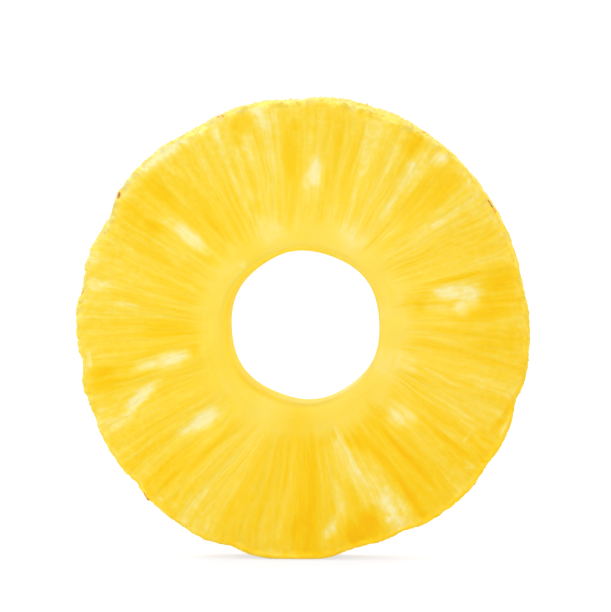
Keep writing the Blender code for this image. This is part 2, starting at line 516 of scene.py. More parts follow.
# %% The wedges of the front
FRONT_WEDGES = [
    (2, 4, 0.49, 0.46), (12, 6, 0.37, 0.54), (22, 3, 0.55, 0.57), (33, 5, 0.61, 0.61),
    (44, 3, 0.57, 0.68), (50, 0, 0.43, 0.48), (57, -2, 0.55, 0.74), (63, -3, 0.6, 0.62),
    (68, -4, 0.78, 0.64), (76, -4, 0.63, 0.66), (85, 1, 0.58, 0.6), (92, 4, 0.54, 0.56),
    (97, 3, 0.55, 0.5), (102, 3, 0.8, 0.62), (108, 2, 0.63, 0.7), (113, 2, 0.7, 0.56),
    (118, 2, 0.64, 0.6), (125, 1, 0.48, 0.42), (132, 1, 0.5, 0.42), (138, 0, 0.5, 0.56),
    (143, 0, 0.43, 0.53), (148, 1, 0.45, 0.47), (156, 2, 0.58, 0.5), (162, 2, 0.62, 0.48),
    (167, 2, 0.58, 0.44), (172, 2, 0.74, 0.54), (178, 1, 0.48, 0.39), (183, -1, 0.46, 0.36),
    (188, -2, 0.48, 0.5), (193, -3, 0.4, 0.54), (198, -1, 0.42, 0.46), (202, 3, 0.6, 0.56),
    (207, 2, 0.66, 0.52), (213, 0, 0.44, 0.5), (219, 2, 0.5, 0.56), (228, 7, 0.44, 0.54),
    (238, 10, 0.6, 0.62), (243, 10, 0.64, 0.68), (248, 7, 0.4, 0.52), (253, 5, 0.38, 0.4),
    (258, 2, 0.46, 0.42), (262, 0, 0.54, 0.42), (267, -2, 0.32, 0.32), (272, 0, 0.28, 0.3),
    (277, 2, 0.4, 0.43), (283, 0, 0.38, 0.54), (289.5, -2, 0.46, 0.7), (297, -6, 0.7, 0.46),
    (302, -4, 0.3, 0.36), (307, -3, 0.28, 0.38), (313, -1, 0.38, 0.45), (318, 1, 0.52, 0.48),
    (325, 8, 0.33, 0.48), (332, 4, 0.58, 0.5), (337, 3, 0.61, 0.64), (342, 2, 0.58, 0.58),
    (347, 2, 0.61, 0.5), (352, 2, 0.38, 0.64), (357, 3, 0.5, 0.48),
]
# how pale the smooth band round the core is, at a few bearings
CORE_TONES = [
    (0, 0.72), (12, 0.76), (25, 0.69), (42, 0.65), (55, 0.76), (66, 0.74), (75, 0.69), (90, 0.66),
    (105, 0.7), (113, 0.72), (122, 0.6), (130, 0.62), (137, 0.76), (155, 0.68), (180, 0.67),
    (193, 0.61), (210, 0.61), (220, 0.66), (232, 0.64), (243, 0.75), (255, 0.64), (268, 0.5),
    (278, 0.66), (300, 0.67), (322, 0.67), (335, 0.79),
]
print(len(FRONT_WEDGES), "wedges on the front")

# %% [markdown]
# Pale pockets are patches of dry, whitish tissue between the fibres, and ripe spots are where
# juice has soaked in and the flesh turns deep yellow. Each is an oval that follows the fibres:
# its bearing in degrees and reach in millimetres, half its width in degrees, half its length in
# millimetres, and its strength. A sixth number, for the few that cross the fibres, is by how
# many degrees its bearing grows with each millimetre outwards.

# %% The pockets and spots of the front
PALE_POCKETS = [
    (12, 34.7, 5, 3.2, 1), (14, 31.4, 3.8, 4, 1), (8, 33, 3.6, 2, 1), (12, 29.6, 2.6, 1, 0.35),
    (8, 28.5, 3, 4.5, 0.45), (51.5, 45.3, 2.6, 2, 0.95), (55, 40, 3, 6.5, 0.65), (53, 37, 1.2, 3, 0.3),
    (54.5, 31, 1.8, 4, 0.35), (38, 33, 3.5, 5, 0.1), (62, 22, 9, 3, 0.3), (86, 32.4, 2.6, 4.2, 0.92),
    (88.3, 30.6, 2.5, 3, 0.55), (89.5, 40.6, 1.6, 2, 0.3), (102.6, 45.8, 0.35, 2, 0.4),
    (100, 44, 4, 3, 0.25), (102.5, 33, 3, 6, 0.2), (108.5, 39.3, 1, 0.6, 0.3),
    (113.8, 42, 2, 5, 0.22), (115.5, 32, 1, 9, 0.25), (109, 22, 10, 3, 0.25),
    (123, 46.8, 2.4, 0.5, 0.6), (141.6, 30.4, 3.5, 5.2, 1), (141.8, 35, 2.5, 3, 0.55),
    (130, 43.5, 2, 3, 0.3), (134, 18.3, 3, 0.6, 0.35), (149.8, 33, 1, 6, 0.4), (150.6, 27, 1, 4, 0.25),
    (152.6, 46.3, 3, 0.5, 0.55), (165, 38, 1, 5, 0.3), (169, 43, 2.6, 2.5, 0.35),
    (173, 36, 1.2, 3, 0.3), (175, 31, 0.8, 4, 0.25), (193, 28.6, 3.8, 4, 0.95),
    (193, 33.4, 2.3, 3.4, 0.9), (202.6, 36.8, 2.2, 5, 1, 0.6), (201.6, 34.8, 2, 2.2, 0.6),
    (206.8, 43, 2, 3, 0.35), (222, 28.6, 3, 4.5, 1), (220.6, 32.8, 2.4, 2.6, 0.6),
    (230, 46.8, 0.8, 0.5, 0.8), (188.4, 45.4, 1.8, 0.4, 0.6), (262.8, 42, 0.9, 3, 0.5),
    (263.6, 36, 1, 4, 0.3), (277.6, 41.9, 1.7, 2.8, 1, -0.9), (278, 41.8, 1.7, 2, 1),
    (276.2, 43.4, 1.2, 0.9, 1), (281.6, 36, 2, 5, 0.7), (284.4, 28, 3, 5, 0.4),
    (290, 32, 3.5, 6, 0.4), (285, 25.2, 2.4, 1.3, 0.5), (292.3, 34, 4, 7, 0.35),
    (296.4, 40, 5, 5.5, 0.5), (297, 34.5, 3, 6, 0.4), (294.6, 41, 2.6, 1.6, 0.55),
    (293.8, 43.3, 1.2, 0.7, 0.8), (284.8, 45.9, 1.2, 0.4, 0.8), (317, 26.6, 4.4, 2.5, 0.85),
    (320.4, 27.2, 2.8, 3.4, 0.85), (319.8, 37, 1, 1, 0.25), (320.8, 44.8, 0.7, 1.5, 0.6),
    (324.6, 37, 0.5, 5, 0.45), (325.6, 31, 0.6, 2, 0.45), (326.6, 40.8, 2.4, 0.35, 0.6),
    (341.4, 29, 0.7, 4.5, 0.45, -0.35), (334.6, 34, 1.4, 7, 0.1), (343, 38, 3, 8, 0.08),
    (341, 23.6, 5, 1.5, 0.3), (333.6, 46.6, 1.8, 0.8, 0.7),
]
RIPE_SPOTS = [
    (59, 44.3, 2.8, 3.1, 1), (18.6, 33, 1.3, 7, 0.75), (5, 37.5, 3, 5, 0.45), (14, 42, 4, 3.4, 0.55),
    (9, 38, 2, 1.6, 0.5), (3, 33.5, 2, 3, 0.35), (46, 40, 3.5, 6, 0.45), (50.4, 36, 1, 6, 0.55),
    (48, 33, 3, 5, 0.4),
    (75, 35, 2, 9, 0.35), (79, 38, 1.2, 6, 0.35), (72, 32, 1.5, 6, 0.3), (58.8, 39, 0.8, 2, 0.45),
    (40.5, 27, 1.2, 2, 0.35), (11, 24.6, 3, 1, 0.35), (107.5, 44.3, 2.9, 2.3, 0.85),
    (110, 42, 2, 2, 0.45), (137, 41, 1.8, 5.6, 0.6), (146.5, 37.8, 2, 2, 0.6), (145, 43, 3, 3, 0.25),
    (95, 36, 2.5, 5, 0.45), (91.5, 33, 1, 4, 0.25), (92.5, 42, 1.5, 1.5, 0.45), (109, 33, 2.5, 3, 0.25),
    (112, 27, 3, 1.5, 0.35), (131, 29, 2, 4, 0.35), (129, 33, 1.5, 4, 0.25), (168.5, 36, 2, 3, 0.25),
    (178, 29, 2, 5, 0.3), (151.8, 26.6, 3, 2, 0.25), (118, 30, 0.8, 5, 0.25), (153, 36, 2, 5, 0.25),
    (194.5, 43, 3.6, 3, 0.45), (181.5, 29, 3, 5, 0.4), (191.6, 23.4, 3, 0.9, 0.55),
    (228.8, 41, 0.7, 5, 0.5), (232, 33, 1, 6, 0.45), (225.6, 38, 1.5, 7, 0.25), (199, 33, 0.8, 4, 0.4),
    (218, 42, 0.8, 3, 0.25), (247.6, 42, 1.2, 4, 0.35), (250.6, 32, 2, 8, 0.3),
    (267.6, 42.6, 1.5, 4, 0.6), (284.4, 44.4, 3.6, 2.6, 0.95), (288.6, 42.8, 3.9, 3, 1),
    (287, 36, 1.2, 4, 0.4), (291, 40.6, 1.6, 1.6, 0.7), (302.5, 41, 1.3, 8, 0.65),
    (301.4, 31, 1.4, 5, 0.5),
    (309, 34.5, 1.3, 8, 0.8), (291, 25.4, 2, 1.5, 0.65), (285.6, 23, 2, 0.9, 0.55),
    (296, 26.4, 2.5, 2, 0.4), (280, 24, 3, 1, 0.35), (274, 30, 2, 8, 0.3), (272, 42, 2, 5, 0.3),
    (338.4, 45.9, 4, 1.8, 1, 3.6), (329.5, 43.6, 1.5, 2.4, 0.5), (322.5, 38, 0.8, 7, 0.4),
    (327.6, 31, 1.5, 5, 0.3), (313, 40, 2, 6, 0.2), (349.6, 40, 1, 6, 0.3),
    (344.6, 42, 2.2, 3.5, 0.15), (356, 40, 3, 5, 0.3), (358.6, 33, 1.5, 5, 0.3), (352, 30, 1, 6, 0.25),
]
print(len(PALE_POCKETS), "pale pockets and", len(RIPE_SPOTS), "ripe spots on the front")

# %% Draw the back's wedges, pockets and spots
chance = np.random.default_rng(17)


def drawn_wedges(count):
    """Wedges spread evenly round the ring, with leans and tones like the front's."""
    bearings = np.arange(count) * 360 / count + chance.uniform(-2.5, 2.5, count)
    tones = np.clip(chance.normal(0.52, 0.15, count), 0.15, 0.75)
    return [(b, chance.normal(2, 4), t, 0.45 + 0.3 * t) for b, t in zip(bearings, tones)]


def drawn_ovals(count, width, length, strength):
    """Ovals at random places, as wide and long as the ranges given."""
    return [
        (chance.uniform(0, 360), chance.uniform(26, 44), chance.uniform(*width),
         chance.uniform(*length), chance.uniform(*strength))
        for _ in range(count)
    ]


BACK_WEDGES = drawn_wedges(36)
BACK_POCKETS = drawn_ovals(14, (1.5, 4), (2.5, 5), (0.6, 1))
BACK_POCKETS += drawn_ovals(34, (0.5, 2), (2, 7), (0.3, 0.7))
BACK_SPOTS = drawn_ovals(34, (1.2, 3.5), (2, 7), (0.4, 1))
print("the back has", len(BACK_WEDGES), "wedges,", len(BACK_POCKETS), "pockets and",
      len(BACK_SPOTS), "spots")

# %% [markdown]
# ## Painting the skin
#
# The shader and the carving both need to know, at every point, how pale the flesh is, how the
# fibres lean, and whether this is a face, the rim or the wall of the hole. Texture painting
# would tie the look to a picture. Here NumPy works these out for all points at once and stores
# them as attributes, which Geometry Nodes and shaders both read by name.

# %% Helpers for painting


def wrapped(degrees):
    """An angle as -180 to 180."""
    return (degrees + 180) % 360 - 180


def smooth(low, high, values):
    part = np.clip((values - low) / (high - low), 0, 1)
    return part * part * (3 - 2 * part)


def blended(bearing, table, column, spread=3):
    """A column of a table, passing smoothly from each bearing to the next round the ring."""
    entries = np.array(table)
    nearness = np.exp(-0.5 * (wrapped(bearing[:, None] - entries[:, 0]) / spread) ** 2)
    return nearness @ entries[:, column] / nearness.sum(axis=1)


CORE_END, RIM_START = 22.0, 46.0  # the reaches between which the fibres sweep, in millimetres
LEAN_SPREAD = 6                   # over how many degrees one wedge's lean passes into the next


def lean_at(bearing, reach, wedges):
    """How far a fibre through a place has swept from where it left the rim, in degrees."""
    swept = np.clip((RIM_START - reach) / (RIM_START - CORE_END), 0, 1) ** 2
    # the lean belongs to the wedge the fibre left the rim in, so a first guess finds that wedge
    first = blended(bearing, wedges, 1, spread=LEAN_SPREAD) * swept
    return blended(bearing - first, wedges, 1, spread=LEAN_SPREAD) * swept


SMOOTH_BAND = 22.3  # the reach where the smooth band round the core ends, in millimetres
BAND_WAVES = [(0.7, 17, 1), (0.5, 29, 4), (0.4, 47, 0)]  # size, times round the ring, and start
BAND_INWARDS, BAND_OUTWARDS = 2.3, 2.6  # how far it fades to each side of its end


def fibrous_at(bearing, reach):
    """0 in the smooth band round the core and 1 where the fibres begin, on an uneven edge."""
    edge = SMOOTH_BAND
    for size, times, start in BAND_WAVES:
        edge = edge + size * np.sin(times * np.radians(bearing) + start)
    return smooth(edge - BAND_INWARDS, edge + BAND_OUTWARDS, reach)


OVAL_FULL, OVAL_END = 0.3, 1.45  # an oval fades between these shares of its half sizes


def ovals(bearing, reach, lean, wedges, table):
    """How strongly the ovals of a table cover each place, from 0 to 1."""
    cover = np.zeros_like(bearing)
    for at, out, half_width, half_length, strength, *turn in table:
        if turn:
            offset = wrapped(bearing - at - turn[0] * (reach - out))
        else:
            own_lean = lean_at(np.array([at]), np.array([out]), wedges)
            offset = wrapped(bearing - lean - at + own_lean)
        distance = np.hypot(offset / half_width, (reach - out) / half_length)
        cover = np.maximum(cover, strength * (1 - smooth(OVAL_FULL, OVAL_END, distance)))
    return cover


print("fibres sweep between", CORE_END, "and", RIM_START, "mm from the middle")

# %% Paint one face's features
INNER_TO_OUTER = (27, 43)  # the reaches between which a wedge's inner tone becomes its outer one


def face_paint(bearing, reach, wedges, pockets, spots):
    """The lean, paleness, pockets and spots that one face gives to each place."""
    lean = lean_at(bearing, reach, wedges)
    fibre = bearing - lean
    inner, outer = blended(fibre, wedges, 3), blended(fibre, wedges, 2)
    tone = inner + (outer - inner) * smooth(*INNER_TO_OUTER, reach)
    core = blended(bearing, CORE_TONES, 1, spread=5)
    tone = core + (tone - core) * fibrous_at(bearing, reach)
    return {
        "lean": lean,
        "tone": tone,
        "pale": ovals(bearing, reach, lean, wedges, pockets),
        "ripe": ovals(bearing, reach, lean, wedges, spots),
    }


def points_and_normals(piece):
    """All of a mesh's points and their normals, as arrays."""
    count = len(piece.data.vertices)
    points, normals = np.empty(count * 3), np.empty(count * 3)
    piece.data.vertices.foreach_get("co", points)
    piece.data.vertices.foreach_get("normal", normals)
    return points.reshape(-1, 3), normals.reshape(-1, 3)


def store(piece, name, values):
    layer = piece.data.attributes.new(name, "FLOAT", "POINT")
    layer.data.foreach_set("value", values.astype(np.float32))


print("a face is painted with its lean, tone, pale pockets and ripe spots")

# %% [markdown]
# The rim and the wall of the hole have tones of their own, and so has each face close to the rim,
# where the fibres were cut across. The glow is painted light: the flesh is painted brighter than
# its tone where a surface faces away from the lamps and would look too dark, and darker, as painted
# shade, where a surface would catch too much of them. Each table goes round the ring, from bearing
# to bearing.

# %% How the rim and the hole change round the ring
# how pale the rim is: white on top, and as yellow as the face on the right
RIM_TONES = [
    (0, 0.5), (15, 0.6), (35, 0.66), (60, 0.8), (90, 0.8), (120, 0.86), (150, 0.87), (180, 0.74),
    (210, 0.66), (240, 0.54), (270, 0.38), (300, 0.35), (330, 0.4),
]
# how much paler a face turns in the last millimetres before the rim
EDGE_TONES = [
    (0, 0.12), (10, 0.18), (20, 0.18), (30, 0.15), (42, 0.14), (50, 0.2), (58, -0.12), (69, -0.16),
    (80, 0.06), (95, 0.06), (102, 0.05), (110, 0.2), (118, 0.2), (129, 0.95), (140, 0.34),
    (147, 0.42), (155, 0.18), (162, 0.23), (167, -0.04), (177, 0.24), (185, 0.12), (190, 0.42),
    (198, 0.02), (207, 0.14), (215, 0.1), (222, 0.12), (230, -0.08), (242, 0.03), (260, 0.15),
    (272, 0), (290, 0), (297, 0.12), (310, 0.22), (318, 0.16), (326, -0.1), (334, 0.12),
    (342, 0.08), (351, -0.2), (358, 0.18),
]
# how pale the wall of the hole is
HOLE_TONES = [
    (0, 0.75), (50, 0.72), (90, 0.5), (150, 0.5), (190, 0.52), (235, 0.5), (275, 0.72), (320, 0.86),
]
# painted light on the wall of the hole and on the rim, and painted shade where it is below 1
HOLE_PAINTED_LIGHTING = [
    (0, 1.04), (60, 1.16), (100, 1.3), (150, 1.3), (190, 1.26), (235, 0.97), (275, 0.83), (320, 0.92),
]
RIM_PAINTED_LIGHTING = [
    (0, 1.04), (30, 0.99), (65, 0.86), (95, 0.82), (135, 0.82), (180, 0.93), (225, 1.05),
    (270, 1.2), (315, 1.16),
]
# how torn the rim is
TEARS = [
    (0, 0.6), (16, 0.65), (30, 0.45), (48, 0.45), (64, 0.9), (90, 0.8), (118, 1), (150, 0.95),
    (180, 0.8), (210, 0.7), (225, 0.6), (245, 0.42), (270, 0.42), (300, 0.6), (330, 0.45),
]
print("the rim is palest at", max(RIM_TONES, key=lambda entry: entry[1])[0], "degrees")

# %% Places seen from the middle and from the edges
FRONT_CORE = (0.45, 0.34)  # the front's core is off the middle by this, in millimetres


def round_middle(across, up):
    """The bearing and the reach of places given in millimetres from a middle."""
    return np.degrees(np.arctan2(up, across)) % 360, np.hypot(across, up)


def from_edges(bearing, reach):
    """How far each place is from the hole's edge and from the rim's, in millimetres."""
    column = np.round(bearing).astype(int) % 360
    nearest, farthest = np.full(360, np.inf), np.zeros(360)
    np.minimum.at(nearest, column, reach)
    np.maximum.at(farthest, column, reach)
    return reach - nearest[column], farthest[column] - reach


def towards_side(bearing, side):
    """1 at one side of the ring and 0 at the opposite one, with an even change between."""
    return 0.5 + 0.5 * np.cos(np.radians(bearing - side))


print("the front's core is", FRONT_CORE, "mm off the middle")

# %% Paint the whole skin
# where one thing passes into the next, in millimetres
FRONT_TO_BACK = (-4, 4)
HOLE_LINE, RIM_LINE = (0.5, 1.8), (0.4, 4.5)  # the lines beside the edges fade between these
FLAT_TO_TORN = (0.3, 1.5)                     # above the floor
PAINTED_SHADE_STARTS = (26, 42)                       # from the middle
# the same, by how far outwards the normal points
FACE_TO_WALL, ROUNDING, TORN_ROUNDING, TO_LAMPS = (0.35, 0.85), (0.05, 0.5), (0.1, 0.6), (0.85, 1)
# the bearings where the line beside the hole begins and ends
LINE_BEGINS, LINE_ENDS = (35, 60), (250, 285)
PALE_BESIDE_HOLE = 0.6  # the tone of that line, which is thin and dry
GOLDEN_SIDE = 325       # the bearing where the flesh is the most golden
PAINTED_SHADE_SIDE = 45        # the bearing where painted shade darkens the flesh most
PAINTED_SHADE = 0.035           # how much darker the painted shade makes it
PAINTED_LIGHT_ON_RIM, PAINTED_LIGHT_LESS_ON_TOP = 0.08, 0.05  # painted light that the rim gains all round, and how much less of it the top gets


def paint_tone(tone, bearing, face, rim, hole, from_hole, edge):
    """The faces' tone, with the lines beside the hole and the rim, and with the two walls."""
    beside_hole = 1 - smooth(*HOLE_LINE, from_hole)
    beside_hole *= smooth(*LINE_BEGINS, bearing) * (1 - smooth(*LINE_ENDS, bearing))
    beside_rim = edge * blended(bearing, EDGE_TONES, 1, spread=5)
    tone = (tone + (PALE_BESIDE_HOLE - tone) * beside_hole + beside_rim) * face
    on_rim = blended(bearing, RIM_TONES, 1, spread=12) * rim
    on_hole = blended(bearing, HOLE_TONES, 1, spread=15) * hole
    return tone + (on_rim + on_hole)


def paint_light_and_shade(bearing, reach, outward, hole):
    """Painted light and shade: how much brighter or darker than its tone each place is."""
    on_hole = (blended(bearing, HOLE_PAINTED_LIGHTING, 1, spread=15) - 1) * hole
    on_rim = (blended(bearing, RIM_PAINTED_LIGHTING, 1, spread=15) - 1) * smooth(*ROUNDING, outward)
    # painted shade, darkest towards the upper right and away from the core
    painted_shade = towards_side(bearing, PAINTED_SHADE_SIDE) * smooth(*PAINTED_SHADE_STARTS, reach)
    # painted light on the rim's outermost faces, less of it on top
    painted_rim_light = PAINTED_LIGHT_ON_RIM - PAINTED_LIGHT_LESS_ON_TOP * np.sin(np.radians(bearing))
    return 1 + (on_hole + on_rim) - PAINTED_SHADE * painted_shade + painted_rim_light * smooth(*TO_LAMPS, outward)


def paint_skin(piece):
    """Works out every feature at every point of a piece, and stores each as an attribute."""
    points, normals = points_and_normals(piece)
    spot = (points - np.array(MIDDLE)) / MM
    bearing, reach = round_middle(spot[:, 0], spot[:, 2])
    core = round_middle(spot[:, 0] - FRONT_CORE[0], spot[:, 2] - FRONT_CORE[1])
    front = face_paint(*core, FRONT_WEDGES, PALE_POCKETS, RIPE_SPOTS)
    back = face_paint(bearing, reach, BACK_WEDGES, BACK_POCKETS, BACK_SPOTS)
    behind = smooth(*FRONT_TO_BACK, spot[:, 1])
    paint = {name: front[name] + (back[name] - front[name]) * behind for name in front}
    outward = (normals[:, 0] * spot[:, 0] + normals[:, 2] * spot[:, 2]) / reach
    rim, hole = smooth(*FACE_TO_WALL, outward), smooth(*FACE_TO_WALL, -outward)
    face = 1 - rim - hole
    from_hole, from_rim = from_edges(bearing, reach)
    edge = 1 - smooth(*RIM_LINE, from_rim)
    resting = 1 - smooth(*FLAT_TO_TORN, points[:, 2] / MM)
    paint["tone"] = paint_tone(paint["tone"], bearing, face, rim, hole, from_hole, edge)
    paint["gold"] = towards_side(bearing, GOLDEN_SIDE) * (1 + edge)
    # painted light where a surface lies in shade, and painted shade where the lamps catch it
    paint["painted_lighting"] = paint_light_and_shade(bearing, reach, outward, hole)
    paint["pale"] *= face
    paint["ripe"] *= face
    paint["rim"] = rim
    paint["hole"] = hole
    paint["fibrous"] = fibrous_at(bearing, reach)
    torn = blended(bearing, TEARS, 1, spread=8) * smooth(*TORN_ROUNDING, outward)
    paint["torn"] = torn * (1 - resting)
    paint["free"] = 1 - resting
    for name, values in paint.items():
        store(piece, name, values)
    return paint


painted = paint_skin(plain_flesh)
print("painted", ", ".join(painted))

# %% [markdown]
# ## Carving the fibres
#
# Under a low light the cut face is not flat: bundles of fibres stand a tenth of a millimetre
# above the juice sacs between them, pale pockets have shrunk back a little, and the peeled rim
# is torn. A bump map could fake this, but it would leave the mesh itself smooth. The relief tree
# moves each point inwards along its normal, never outwards, so the piece stays inside the frame.
# The flat that the ring stands on is left uncut. Where the rim is cut, the tree also stores how
# deep the nick is, so that the shader can paint light into the shade of each nick.

# %% The tree that carves the relief
# the count, run and contrast of each noise that carves
BUNDLES, FIBRES = (150, 0.045, 2.4), (290, 0.12, 2.4)
FIBRE_ENDS, TUFTS = (300, 0.1, 3.0), (110, 0.1, 2.5)
TEAR_GAIN, TEAR_LEAST = 0.9, 0.55  # the sum of ends and tufts is scaled, and cuts from here on


def relief_tree():
    inputs = {
        "Geometry": "geometry", "Middle": "vector", "Bundle depth": "number",
        "Fibre depth": "number", "Pocket depth": "number", "Spot depth": "number",
        "Rim depth": "number", "Material": "material",
    }
    tree, given, out = start_group("GeometryNodeTree", "flesh relief", inputs, {"Geometry": "geometry"})
    bearing, reach, depth = ring_place(tree, position(tree), given["Middle"], named(tree, "lean"))
    bundles = streak_noise(tree, bearing, reach, depth, *BUNDLES)
    fibres = streak_noise(tree, bearing, reach, depth, *FIBRES)
    cut = maths(tree, "ADD", maths(tree, "MULTIPLY", bundles, given["Bundle depth"]),
                maths(tree, "MULTIPLY", fibres, given["Fibre depth"]))
    cut = maths(tree, "MULTIPLY", cut, named(tree, "fibrous"))
    shrunk = maths(tree, "MULTIPLY", named(tree, "pale"), given["Pocket depth"])
    soaked = maths(tree, "MULTIPLY", named(tree, "ripe"), given["Spot depth"])
    ends = streak_noise(tree, bearing, reach, depth, *FIBRE_ENDS)
    tufts = streak_noise(tree, bearing, reach, maths(tree, "MULTIPLY", depth, 0.5), *TUFTS)
    rough = maths(tree, "MULTIPLY_ADD", maths(tree, "ADD", ends, tufts), TEAR_GAIN, -TEAR_LEAST)
    rough = maths(tree, "MULTIPLY", maths(tree, "MAXIMUM", rough, 0.0), named(tree, "torn"))
    marked = add(tree, "GeometryNodeStoreNamedAttribute",
                 {"Geometry": given["Geometry"], "Name": "nick", "Value": rough}, data_type="FLOAT")
    torn_out = maths(tree, "MULTIPLY", rough, given["Rim depth"])
    deep = maths(tree, "ADD", maths(tree, "ADD", cut, shrunk), maths(tree, "ADD", soaked, torn_out))
    deep = maths(tree, "MULTIPLY", deep, named(tree, "free"))
    normal = add(tree, "GeometryNodeInputNormal").outputs[0]
    inwards = scaled(tree, normal, maths(tree, "MULTIPLY", deep, -1.0))
    carved = add(tree, "GeometryNodeSetPosition", {"Geometry": marked.outputs[0], "Offset": inwards})
    finish_geometry(tree, carved.outputs[0], given["Material"], out)
    return tree


RELIEF_TREE = relief_tree()
print("the relief's tree has", len(RELIEF_TREE.nodes), "nodes")

# %% Carve the flesh
flesh = grown_mesh(
    "cut_flesh", plain_flesh.data, RELIEF_TREE,
    Middle=MIDDLE, Bundle_depth=0.14 * MM, Fibre_depth=0.10 * MM, Pocket_depth=0.18 * MM,
    Spot_depth=0.10 * MM, Rim_depth=0.7 * MM, Material=flesh_material,
)
bpy.data.objects.remove(plain_flesh, do_unlink=True)
print("the carved flesh has", triangles(flesh), "triangles")

# %% [markdown]
# ## Effects that the materials share
#
# The flesh, the threads and the shreds are all the same plant, so their streaks and their
# colours come from three node groups. The first gives the fibre's bearing, reach and depth at a
# place. The second gives streaks from those. The third turns a paleness from 0 to 1 into a
# colour, which the gold makes warmer and the painted light brighter, or darker below 1. Each
# material places them with its own values.

# %% The shared groups


def place_group():
    inputs = {"Place": "vector", "Middle": "vector", "Lean": "number"}
    outputs = {"Bearing": "number", "Reach": "number", "Depth": "number"}
    tree, given, out = start_group("ShaderNodeTree", "fibre place", inputs, outputs)
    found = ring_place(tree, given["Place"], given["Middle"], given["Lean"])
    for name, value in zip(outputs, found):
        tree.links.new(value, out.inputs[name])
    return tree


def streak_group():
    inputs = {
        "Bearing": "number", "Reach": "number", "Depth": "number",
        "Count": "number", "Run": "number", "Contrast": "number",
    }
    tree, given, out = start_group("ShaderNodeTree", "fibre streaks", inputs, {"Streak": "number"})
    streak = streak_noise(tree, *(given[name] for name in inputs))
    tree.links.new(streak, out.inputs["Streak"])
    return tree


PLACE_GROUP, STREAK_GROUP = place_group(), streak_group()
print("built", PLACE_GROUP.name, "and", STREAK_GROUP.name)

# %% [markdown]
# The colours are given as the eye sees them under these lamps. A shader wants the share of light
# that the surface gives back, so each colour is made linear, as the sRGB standard says, loses
# what the wet surface mirrors, and is divided by the light that falls on the front. Red is as
# bright as a picture can show in every tone, so it has one share of its own.

# %% The colours of pineapple
LIGHT_ON_FRONT = 1.4
MIRRORED = 0.012       # what the wet surface adds to each channel
RED_GIVEN_BACK = 0.684
GOLD_STEP = 0.03       # how much less green and blue the golden side gives back
TONES = [
    (0.0, (253, 197, 8)), (0.2, (253, 207, 30)), (0.4, (253, 213, 50)), (0.5, (253, 216, 63)),
    (0.6, (253, 220, 76)), (0.75, (253, 225, 99)), (0.9, (254, 233, 138)), (1.0, (255, 240, 168)),
]


def given_back(colour):
    """The share of light, in red, green and blue, that makes a surface look this colour."""
    linear = [(c / 255 / 12.92) if c < 11 else ((c / 255 + 0.055) / 1.055) ** 2.4 for c in colour]
    return [max(0.0, channel - MIRRORED) / LIGHT_ON_FRONT for channel in linear]


def tone_group():
    inputs = {"Paleness": "number", "Gold": "number", "Painted lighting": "number"}
    tree, given, out = start_group("ShaderNodeTree", "pineapple tones", inputs, {"Colour": "colour"})
    ramp = add(tree, "ShaderNodeValToRGB", {"Fac": given["Paleness"]})
    while len(ramp.color_ramp.elements) < len(TONES):
        ramp.color_ramp.elements.new(0.5)
    # the places come first, because an element that moves past another changes its number
    for element, (paleness, _) in zip(ramp.color_ramp.elements, TONES):
        element.position = paleness
    for element, (_, colour) in zip(ramp.color_ramp.elements, TONES):
        element.color = (RED_GIVEN_BACK, *given_back(colour)[1:], 1)
    less = maths(tree, "MULTIPLY_ADD", given["Gold"], -GOLD_STEP, 1.0)
    golden = vectors(tree, "MULTIPLY", ramp.outputs["Color"], combined(tree, 1.0, less, less))
    # the painted light and shade make the colour brighter or darker
    tree.links.new(scaled(tree, golden, given["Painted lighting"]), out.inputs["Colour"])
    return tree


TONE_GROUP = tone_group()
print("tones run from", TONES[0][1], "to", TONES[-1][1])

# %% [markdown]
# ## Helpers for materials
#
# Every material here is a Principled shader whose colour, roughness and height change over the
# surface. These helpers read what was painted on the mesh, place the shared groups, and mix one
# value into another. Values that are the same all over a piece are typed into its sockets.

# %% Helpers for materials


def attribute(tree, name):
    return add(tree, "ShaderNodeAttribute", attribute_name=name).outputs["Fac"]


def group(tree, node_tree, inputs):
    return add(tree, "ShaderNodeGroup", inputs, node_tree=node_tree).outputs


def tree_of(material):
    material.use_nodes = True
    return material.node_tree, material.node_tree.nodes["Principled BSDF"]


def object_place(tree):
    return add(tree, "ShaderNodeTexCoord").outputs["Object"]


def fibre_place(tree, lean):
    """The bearing, reach and depth of the fibre at each place, by name."""
    found = group(tree, PLACE_GROUP, {"Place": object_place(tree), "Middle": MIDDLE, "Lean": lean})
    return {name: found[name] for name in ("Bearing", "Reach", "Depth")}


def streaks(tree, spot, count, run, contrast):
    return group(tree, STREAK_GROUP, {**spot, "Count": count, "Run": run, "Contrast": contrast})[0]


def total(tree, *parts):
    sum_so_far = parts[0]
    for part in parts[1:]:
        sum_so_far = maths(tree, "ADD", sum_so_far, part)
    return sum_so_far


def around_half(tree, value, amount):
    """A value from 0 to 1, made to swing by amount either side of 0."""
    return maths(tree, "MULTIPLY", maths(tree, "SUBTRACT", value, 0.5), 2 * amount)


def passing(tree, cover, bare, covered):
    """Passes from one value, where a mask is 0, to another, where it is 1."""
    return maths(tree, "MULTIPLY_ADD", cover, covered - bare, bare)


def frayed(tree, cover, fray):
    """A patch whose edges, where it covers half, are broken up most."""
    uncovered = maths(tree, "SUBTRACT", 1.0, cover)
    at_edge = maths(tree, "MULTIPLY", uncovered, maths(tree, "MULTIPLY", cover, 4.0))
    return clamped(tree, maths(tree, "MULTIPLY_ADD", fray, at_edge, cover))


def set_bump(tree, shader, height, strength, distance):
    bump = add(tree, "ShaderNodeBump", {"Height": height, "Strength": strength, "Distance": distance})
    tree.links.new(bump.outputs[0], shader.inputs["Normal"])


